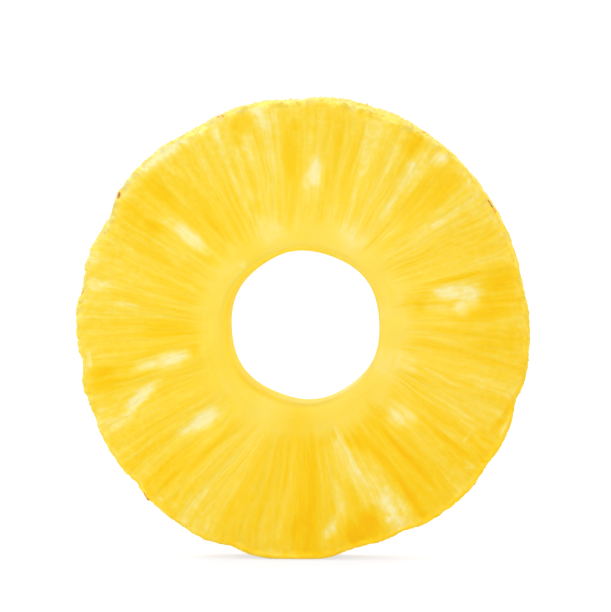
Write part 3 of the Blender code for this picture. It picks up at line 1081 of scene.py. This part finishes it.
def make_wet(shader, roughness, coat, scattering):
    """The sockets that are the same all over a wet, translucent piece."""
    shader.inputs["Roughness"].default_value = roughness
    shader.inputs["IOR"].default_value = 1.34
    shader.inputs["Specular IOR Level"].default_value = 0.15
    shader.inputs["Coat Roughness"].default_value = 0.12
    shader.inputs["Coat IOR"].default_value = 1.33
    shader.inputs["Coat Weight"].default_value = coat
    shader.inputs["Subsurface Weight"].default_value = scattering
    shader.inputs["Subsurface Radius"].default_value = (1.0, 0.85, 0.25)
    shader.inputs["Subsurface Scale"].default_value = 1.2 * MM


print("helpers for materials are ready")

# %% [markdown]
# ## The flesh's material
#
# Pineapple is translucent: light goes in, turns warmer, and comes out a millimetre or two away.
# A Principled shader with some subsurface scattering gives that. Its red light travels farthest,
# which keeps the shaded parts golden and not olive. The paleness painted on the mesh is broken
# up by four sizes of streak and by blots and specks for the juice sacs, and the edges of the
# pockets are frayed by them, as the real ones are.

# %% The material of the flesh
# each size of streak: its count round the ring, its run, and how far it swings the paleness
STREAK_SIZES = {
    "broad": (70, 0.03, 0.07),
    "strands": (150, 0.045, 0.12),
    "middling": (290, 0.08, 0.07),
    "fine": (560, 0.14, 0.055),
}
STREAK_CONTRAST = 2.4
JUICE_SACS = (150, 0.42, STREAK_CONTRAST)
CORE_RINGS = (16, 0.9, 2.2)  # faint, and only in the smooth band round the core
SPECKS_A_METRE, SPECK_CONTRAST = 950.0, 2.2
MOTTLE_STARTS, MOTTLE_FULL = 30.0, 44.0  # the reaches between which the mottle grows, in mm
# how far each of these swings the paleness
SAC_SWING, SPECK_SWING, RING_SWING, FRAY_SWING = 0.08, 0.07, 0.05, 0.07
# how much a full pocket and a full spot change the paleness, and how much painted light a full nick adds
POCKET_PALER, SPOT_DEEPER, NICK_PAINTED_LIGHT = 0.48, -0.45, 0.35
# the strength of the lines on plain flesh and in a pocket, of the mottle by the core and by the
# rim, and of both on the faces and on the rim
LINES_IN_POCKETS, MOTTLE_OUTWARDS, CALM_ON_RIM = (1.05, 0.45), (0.6, 1.2), (1.0, 0.5)


def flesh_streaks(tree, sizes, sacs, specks, rings, outer):
    """How the streaks, the sacs and the specks swing the paleness, from 0 either way."""
    swings = {name: swing for name, (_, _, swing) in STREAK_SIZES.items()}
    lines = total(tree, *(around_half(tree, sizes[name], swings[name]) for name in sizes))
    in_pockets = passing(tree, attribute(tree, "pale"), *LINES_IN_POCKETS)
    lines = maths(tree, "MULTIPLY", lines, in_pockets)
    mottle = total(tree, around_half(tree, sacs, SAC_SWING), around_half(tree, specks, SPECK_SWING))
    mottle = maths(tree, "MULTIPLY", mottle, passing(tree, outer, *MOTTLE_OUTWARDS))
    fibrous = attribute(tree, "fibrous")
    calm = maths(tree, "MULTIPLY", fibrous, passing(tree, attribute(tree, "rim"), *CALM_ON_RIM))
    fibrous_part = maths(tree, "MULTIPLY", maths(tree, "ADD", lines, mottle), calm)
    smooth_flesh = maths(tree, "SUBTRACT", 1.0, fibrous)
    smooth_part = maths(tree, "MULTIPLY", around_half(tree, rings, RING_SWING), smooth_flesh)
    return maths(tree, "ADD", fibrous_part, smooth_part)


def dress_flesh(material):
    tree, shader = tree_of(material)
    make_wet(shader, roughness=0.4, coat=0.03, scattering=0.3)
    spot = fibre_place(tree, attribute(tree, "lean"))
    sizes = {
        name: streaks(tree, spot, count, run, STREAK_CONTRAST)
        for name, (count, run, _) in STREAK_SIZES.items()
    }
    sacs, rings = streaks(tree, spot, *JUICE_SACS), streaks(tree, spot, *CORE_RINGS)
    noise = {"Vector": object_place(tree), "Scale": SPECKS_A_METRE, "Detail": 2.0}
    specks = with_contrast(tree, add(tree, "ShaderNodeTexNoise", noise).outputs[0], SPECK_CONTRAST)
    outer = soft_step(tree, spot["Reach"], MOTTLE_STARTS, MOTTLE_FULL)
    swing = flesh_streaks(tree, sizes, sacs, specks, rings, outer)
    # the patches lie on the painted tone, with edges that the streaks fray
    fray = total(tree, around_half(tree, sizes["middling"], FRAY_SWING),
                 around_half(tree, sacs, SAC_SWING))
    pale, ripe = (frayed(tree, attribute(tree, name), fray) for name in ("pale", "ripe"))
    paleness = total(tree, attribute(tree, "tone"), swing, maths(tree, "MULTIPLY", pale, POCKET_PALER),
                     maths(tree, "MULTIPLY", ripe, SPOT_DEEPER))
    # painted light and shade from the mesh, with more painted light added in each nick of the rim
    painted_lighting = maths(tree, "MULTIPLY_ADD", attribute(tree, "nick"), NICK_PAINTED_LIGHT, attribute(tree, "painted_lighting"))
    tones = {"Paleness": paleness, "Gold": attribute(tree, "gold"), "Painted lighting": painted_lighting}
    tree.links.new(group(tree, TONE_GROUP, tones)[0], shader.inputs["Base Color"])
    # the two walls are duller than the faces, and the streaks stand out of the wet
    walls = maths(tree, "MAXIMUM", attribute(tree, "rim"), attribute(tree, "hole"))
    roughness = maths(tree, "MULTIPLY_ADD", walls, 0.5, passing(tree, sizes["middling"], 0.45, 0.35))
    tree.links.new(roughness, shader.inputs["Roughness"])
    strands = maths(tree, "MULTIPLY", sizes["middling"], attribute(tree, "fibrous"))
    set_bump(tree, shader, total(tree, strands, maths(tree, "MULTIPLY", specks, 0.4)), 0.35, 0.12 * MM)


dress_flesh(flesh_material)
print("the flesh's material has", len(flesh_material.node_tree.nodes), "nodes")

# %% [markdown]
# ## Pale threads
#
# Here and there the knife lifts a single strand of the fibre, which dries to a thin pale line on
# the wet face. Painted lines would be flat in a side light, so these are real threads, thinner
# than a quarter of a millimetre and more than half sunk. Each starts as one point that carries
# its bearing, reach, length, sweep, thickness and side. The tree turns each point into a short
# curve, lays it on the flesh by casting rays at it, and gives it a round section that tapers at
# both ends.

# %% The tree that lays threads
WAVE_SIZE = 0.08  # how far a thread waves to each side, in degrees
WAVE_RUN = 7.0    # how far the wave runs along a thread, in radians
TAPER_RUN = 3.1   # half a wave, short of pi by so little that both ends are thin
BLUNTNESS = 0.6   # a power below 1, which keeps a thread thick until near its ends
THINNEST = 0.08   # the share of the thickness that the ends keep


def one_curve_each(tree, points, steps):
    """A straight curve for each point, which keeps what the point carries."""
    starts = add(tree, "GeometryNodeMeshToPoints", {"Mesh": points}).outputs[0]
    line = add(tree, "GeometryNodeCurvePrimitiveLine", {"Start": (0, 0, 0), "End": (1, 0, 0)})
    stepped = add(tree, "GeometryNodeResampleCurve", {"Curve": line.outputs[0], "Count": steps})
    copies = {"Points": starts, "Instance": stepped.outputs[0]}
    return realized(tree, add(tree, "GeometryNodeInstanceOnPoints", copies).outputs[0])


def thread_tree():
    inputs = {
        "Geometry": "geometry", "Flesh": "object", "Middle": "vector",
        "Thickness of ring": "number", "Steps": "count", "Sides": "count", "Sink": "number",
        "Material": "material",
    }
    tree, given, out = start_group("GeometryNodeTree", "pale threads", inputs, {"Geometry": "geometry"})
    curves = one_curve_each(tree, given["Geometry"], given["Steps"])
    # each step of a thread goes outwards and a little round the ring, with a slight wave
    factor = add(tree, "GeometryNodeSplineParameter").outputs["Factor"]
    along = maths(tree, "SUBTRACT", factor, 0.5)
    reach = maths(tree, "MULTIPLY_ADD", along, named(tree, "length"), named(tree, "reach"))
    bearing = maths(tree, "MULTIPLY_ADD", along, named(tree, "sweep"), named(tree, "bearing"))
    wave = maths(tree, "SINE", maths(tree, "MULTIPLY_ADD", factor, WAVE_RUN, named(tree, "bearing")))
    bearing = maths(tree, "RADIANS", maths(tree, "MULTIPLY_ADD", wave, WAVE_SIZE, bearing))
    across = maths(tree, "MULTIPLY", maths(tree, "COSINE", bearing), reach)
    up = maths(tree, "MULTIPLY", maths(tree, "SINE", bearing), reach)
    # a ray from outside the face finds the flesh under each step, which then sinks in a little
    side = named(tree, "side")
    above = combined(tree, across, maths(tree, "MULTIPLY", side, given["Thickness of ring"]), up)
    down = combined(tree, 0.0, maths(tree, "MULTIPLY", side, -1.0), 0.0)
    ray = cast(tree, given["Flesh"], vectors(tree, "ADD", above, given["Middle"]), down)
    sunk = scaled(tree, ray["Hit Normal"], maths(tree, "MULTIPLY", given["Sink"], -1.0))
    laid = vectors(tree, "ADD", ray["Hit Position"], sunk)
    lines = add(tree, "GeometryNodeSetPosition", {"Geometry": curves, "Position": laid}).outputs[0]
    # a round section that tapers at both ends, as half a sine wave does
    taper = maths(tree, "SINE", maths(tree, "MULTIPLY", factor, TAPER_RUN))
    taper = maths(tree, "MAXIMUM", maths(tree, "POWER", taper, BLUNTNESS), THINNEST)
    section = add(tree, "GeometryNodeCurvePrimitiveCircle", {"Resolution": given["Sides"], "Radius": 1.0})
    tubes = add(tree, "GeometryNodeCurveToMesh", {
        "Curve": lines, "Profile Curve": section.outputs[0], "Fill Caps": True,
        "Scale": maths(tree, "MULTIPLY", taper, named(tree, "thickness")),
    })
    finish_geometry(tree, tubes.outputs[0], given["Material"], out)
    return tree


THREAD_TREE = thread_tree()
print("the threads' tree has", len(THREAD_TREE.nodes), "nodes")

# %% The threads themselves
# bearing, reach, length, sweep and half thickness, in degrees and millimetres
FRONT_THREADS = [
    (102.9, 45.4, 4, 1.2, 0.10), (324.7, 36, 9, -2, 0.09), (341.4, 29, 8, -3, 0.09),
    (282, 37, 8, -2, 0.10), (278.2, 42, 5, -2, 0.11), (203.5, 37.5, 7, 4, 0.10),
    (12, 36, 6, -2, 0.09), (320.9, 45, 2.4, 1.6, 0.12), (53.6, 44.8, 3, 1, 0.10),
    (326.6, 40.8, 0.9, 4.5, 0.10), (150, 33, 9, 1, 0.07),
]
FRONT_SIDE, BACK_SIDE = -1, 1
BACK_THREADS = 30


def points_with(name, table, columns):
    """A mesh of loose points that carries each row of a table as attributes."""
    rows = np.array(table, dtype=float)
    mesh = bpy.data.meshes.new(name)
    mesh.from_pydata([(0, 0, 0)] * len(rows), [], [])
    for number, column in enumerate(columns):
        layer = mesh.attributes.new(column, "FLOAT", "POINT")
        layer.data.foreach_set("value", rows[:, number].astype(np.float32))
    return mesh


def drawn_threads(count, side):
    """Threads at random places on one side of the ring, in metres."""
    return [
        (chance.uniform(0, 360), chance.uniform(27, 42) * MM, chance.uniform(4, 12) * MM,
         chance.normal(-1, 1.5), chance.uniform(0.08, 0.12) * MM, side)
        for _ in range(count)
    ]


threads_laid = [
    (bearing, reach * MM, length * MM, sweep, thickness * MM, FRONT_SIDE)
    for bearing, reach, length, sweep, thickness in FRONT_THREADS
]
threads_laid += drawn_threads(BACK_THREADS, BACK_SIDE)
thread_starts = points_with(
    "thread_starts", threads_laid, ["bearing", "reach", "length", "sweep", "thickness", "side"],
)
thread_material = bpy.data.materials.new("dry_pale_fibre")
threads = grown_mesh(
    "pale_threads", thread_starts, THREAD_TREE, Flesh=flesh, Middle=MIDDLE,
    Thickness_of_ring=THICKNESS, Steps=14, Sides=6, Sink=0.07 * MM, Material=thread_material,
)
print(len(threads_laid), "threads,", triangles(threads), "triangles")

# %% [markdown]
# ## The torn rim
#
# Peeling pulls the ends of the fibres out of the rim, so its edge is a little furry. Each shred
# is a thin curved spike. Well over a thousand are needed, all alike, so they are one cone that
# Geometry Nodes scatters over the rim, thickest where the painted tear is strongest, and turns
# away from the surface with some scatter. The cone has few faces, because it is repeated so
# often.

# %% The tree that scatters shreds
LEAST_TORN, MOST_TORN = 0.45, 1.0     # no shreds below the first, and the most at the second
SHRED_BEND, SHRED_SUNK = 0.5, 0.25    # shares of a shred's length
SMALLEST, LARGEST = 0.4, 1.3          # shares of the size given


def bent_spike(tree, length, thickness):
    """One thin cone, curved to one side and sunk a little below the place it stands on."""
    spike = add(tree, "GeometryNodeMeshCone", {
        "Vertices": 4, "Side Segments": 3, "Radius Top": 0.0, "Radius Bottom": thickness,
        "Depth": length,
    })
    height = add(tree, "ShaderNodeSeparateXYZ", {0: position(tree)}).outputs["Z"]
    share = maths(tree, "DIVIDE", height, length)
    most = maths(tree, "MULTIPLY", length, SHRED_BEND)
    curl = maths(tree, "MULTIPLY", maths(tree, "MULTIPLY", share, share), most)
    shift = combined(tree, curl, 0.0, maths(tree, "MULTIPLY", length, -SHRED_SUNK))
    bent = add(tree, "GeometryNodeSetPosition", {"Geometry": spike.outputs[0], "Offset": shift})
    return bent.outputs[0]


def shred_tree():
    inputs = {
        "Geometry": "geometry", "Most in a square metre": "number", "Seed": "count",
        "Length": "number", "Thickness": "number", "Scatter": "number", "Material": "material",
    }
    tree, given, out = start_group("GeometryNodeTree", "torn shreds", inputs, {"Geometry": "geometry"})
    torn = soft_step(tree, named(tree, "torn"), LEAST_TORN, MOST_TORN)
    spread = add(tree, "GeometryNodeDistributePointsOnFaces", {
        "Mesh": given["Geometry"], "Seed": given["Seed"],
        "Density": maths(tree, "MULTIPLY", torn, given["Most in a square metre"]),
    }, distribute_method="RANDOM").outputs
    astray = add(tree, "FunctionNodeRandomValue", {"Min": (-1, -1, -1), "Max": (1, 1, 1), "Seed": 3},
                 data_type="FLOAT_VECTOR").outputs[0]
    pointing = vectors(tree, "ADD", spread["Normal"], scaled(tree, astray, given["Scatter"]))
    turned = add(tree, "FunctionNodeAlignRotationToVector", {"Vector": pointing}, axis="Z")
    size = add(tree, "FunctionNodeRandomValue", {2: SMALLEST, 3: LARGEST, "Seed": 5},
               data_type="FLOAT").outputs[1]
    shreds = add(tree, "GeometryNodeInstanceOnPoints", {
        "Points": spread["Points"], "Rotation": turned.outputs[0], "Scale": size,
        "Instance": bent_spike(tree, given["Length"], given["Thickness"]),
    })
    finish_geometry(tree, shreds.outputs[0], given["Material"], out)
    return tree


SHRED_TREE = shred_tree()
print("the shreds' tree has", len(SHRED_TREE.nodes), "nodes")

# %% The shreds themselves
shred_material = bpy.data.materials.new("torn_fibre_ends")
shreds = grown_mesh(
    "torn_shreds", flesh.data, SHRED_TREE, Most_in_a_square_metre=1.1e6, Seed=4,
    Length=0.75 * MM, Thickness=0.11 * MM, Scatter=0.7, Material=shred_material,
)
print("the shreds have", triangles(shreds), "triangles")

# %% [markdown]
# ## Flecks of skin
#
# The peeler leaves a few thin flecks of the brown skin on the rim, where the eyes sat deepest.
# They are few and each has its own place, so their places are written down: a bearing, how far
# through the ring, a length, a width, a turn, and how brown it is. One tree drops a small lens
# at each place, lays it flat on the flesh and wrinkles it.

# %% The tree that lays flecks
WRINKLES_A_METRE = 1800.0


def fleck_tree():
    inputs = {
        "Geometry": "geometry", "Flesh": "object", "Middle": "vector", "Start reach": "number",
        "Thickness": "number", "Wrinkle": "number", "Material": "material",
    }
    tree, given, out = start_group("GeometryNodeTree", "skin flecks", inputs, {"Geometry": "geometry"})
    starts = add(tree, "GeometryNodeMeshToPoints", {"Mesh": given["Geometry"]}).outputs[0]
    # a ray from outside the rim finds each fleck's place on the flesh
    bearing, turn = (maths(tree, "RADIANS", named(tree, name)) for name in ("bearing", "turn"))
    cosine, sine = maths(tree, "COSINE", bearing), maths(tree, "SINE", bearing)
    outward = combined(tree, cosine, 0.0, sine)
    far = scaled(tree, outward, given["Start reach"])
    level = combined(tree, 0.0, named(tree, "depth"), 0.0)
    start = vectors(tree, "ADD", vectors(tree, "ADD", far, level), given["Middle"])
    ray = cast(tree, given["Flesh"], start, vectors(tree, "MULTIPLY", outward, (-1, -1, -1)))
    resting = add(tree, "GeometryNodeSetPosition", {"Geometry": starts, "Position": ray["Hit Position"]})
    # it lies flat there, with its length turned out of the plane of the ring
    in_plane = maths(tree, "COSINE", turn)
    lengthways = combined(
        tree, maths(tree, "MULTIPLY", maths(tree, "MULTIPLY", sine, -1.0), in_plane),
        maths(tree, "SINE", turn), maths(tree, "MULTIPLY", cosine, in_plane),
    )
    flat = add(tree, "FunctionNodeAxesToRotation",
               {"Primary Axis": ray["Hit Normal"], "Secondary Axis": lengthways},
               primary_axis="Z", secondary_axis="X")
    lens = add(tree, "GeometryNodeMeshIcoSphere", {"Radius": 1.0, "Subdivisions": 3})
    size = combined(tree, named(tree, "length"), named(tree, "width"), given["Thickness"])
    flecks = add(tree, "GeometryNodeInstanceOnPoints", {
        "Points": resting.outputs[0], "Instance": lens.outputs[0],
        "Rotation": flat.outputs[0], "Scale": size,
    })
    # noise wrinkles the real mesh, so that no two flecks are alike
    noise = {"Vector": position(tree), "Scale": WRINKLES_A_METRE, "Detail": 3.0}
    folds = add(tree, "ShaderNodeTexNoise", noise).outputs[1]
    shift = scaled(tree, vectors(tree, "SUBTRACT", folds, (0.5, 0.5, 0.5)), given["Wrinkle"])
    wrinkled = add(tree, "GeometryNodeSetPosition",
                   {"Geometry": realized(tree, flecks.outputs[0]), "Offset": shift})
    finish_geometry(tree, wrinkled.outputs[0], given["Material"], out)
    return tree


FLECK_TREE = fleck_tree()
print("the flecks' tree has", len(FLECK_TREE.nodes), "nodes")

# %% The flecks themselves
# bearing, depth behind the middle, half length, half width, turn, and how brown it is, in
# degrees and millimetres
FLECKS = [
    (144.4, -5.2, 1.3, 0.42, 5, 0.3), (110.5, -4.8, 1.3, 0.35, 0, 0.1),
    (58.6, -2.8, 0.6, 0.3, 20, 0.3), (33.9, -5.2, 0.9, 0.18, 10, 0.5), (32, -5.0, 0.6, 0.22, 10, 0.1),
    (227, -5.0, 1.0, 0.32, 10, 0.15), (170.5, -5.2, 0.5, 0.25, 0, 0.1), (204, 3.4, 1.2, 0.4, 10, 0.6),
    (300, 3.0, 0.9, 0.4, -20, 0.9), (191, 2.2, 1.1, 0.4, 15, 0.8), (256, 3.6, 0.7, 0.35, 50, 0.5),
    (318, -2.0, 0.6, 0.3, 80, 0.4),
]
OUTSIDE = 0.07  # a reach well outside the rim, in metres
flecks_laid = [
    (bearing, depth * MM, length * MM, width * MM, turn, brown)
    for bearing, depth, length, width, turn, brown in FLECKS
]
fleck_starts = points_with(
    "fleck_starts", flecks_laid, ["bearing", "depth", "length", "width", "turn", "brown"],
)
fleck_material = bpy.data.materials.new("brown_eye_skin")
flecks = grown_mesh(
    "skin_flecks", fleck_starts, FLECK_TREE, Flesh=flesh, Middle=MIDDLE,
    Start_reach=OUTSIDE, Thickness=0.16 * MM, Wrinkle=0.35 * MM, Material=fleck_material,
)
print(len(FLECKS), "flecks,", triangles(flecks), "triangles")

# %% [markdown]
# ## Dressing the threads, shreds and flecks
#
# The threads and shreds take their tones from the same group as the flesh, only paler and
# drier. The skin is brown where it is thick and orange where juice has soaked its thin edges.

# %% The materials of the small pieces
FIBRE_STREAKS, SKIN_GRAIN = (300, 0.4, 2.5), (420, 1.2, 3.0)  # count, run and contrast
FIBRE_GOLD = 0.3
THIN_SKIN, THICK_SKIN = (0.8, 0.27, 0.04, 1), (0.12, 0.03, 0.005, 1)


def dress_fibre(material, paleness, swing, painted_lighting, roughness):
    """A fibre's tone, the swing of its streaks, the light painted on it, and how dull it is."""
    tree, shader = tree_of(material)
    make_wet(shader, roughness, coat=0.0, scattering=0.0)
    streak = streaks(tree, fibre_place(tree, 0.0), *FIBRE_STREAKS)
    tone = maths(tree, "ADD", around_half(tree, streak, swing), paleness)
    colour = group(tree, TONE_GROUP, {"Paleness": tone, "Gold": FIBRE_GOLD, "Painted lighting": painted_lighting})[0]
    tree.links.new(colour, shader.inputs["Base Color"])
    set_bump(tree, shader, streak, 0.3, 0.05 * MM)


def dress_skin(material):
    tree, shader = tree_of(material)
    shader.inputs["Roughness"].default_value = 0.6
    shader.inputs["Specular IOR Level"].default_value = 0.3
    grain = streaks(tree, fibre_place(tree, 0.0), *SKIN_GRAIN)
    brown = maths(tree, "ADD", attribute(tree, "brown"), around_half(tree, grain, 0.3))
    ramp = add(tree, "ShaderNodeValToRGB", {"Fac": brown})
    ramp.color_ramp.elements[0].color = THIN_SKIN
    ramp.color_ramp.elements[1].color = THICK_SKIN
    tree.links.new(ramp.outputs["Color"], shader.inputs["Base Color"])
    set_bump(tree, shader, grain, 0.5, 0.1 * MM)


dress_fibre(thread_material, paleness=0.84, swing=0.12, painted_lighting=1.0, roughness=0.4)
# the shreds are painted brighter than their tone, against their own shade
dress_fibre(shred_material, paleness=0.85, swing=0.08, painted_lighting=1.25, roughness=0.5)
dress_skin(fleck_material)
print("dressed", thread_material.name, shred_material.name, "and", fleck_material.name)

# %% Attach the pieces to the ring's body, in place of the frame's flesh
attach(flesh, BODY)
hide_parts(FLESH)
for piece, slot in ((threads, "flesh"), (shreds, "flesh"), (flecks, "eye_skin")):
    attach(piece, BODY)
print(flesh.name, "stands for", FLESH, "and carries threads, shreds and flecks")
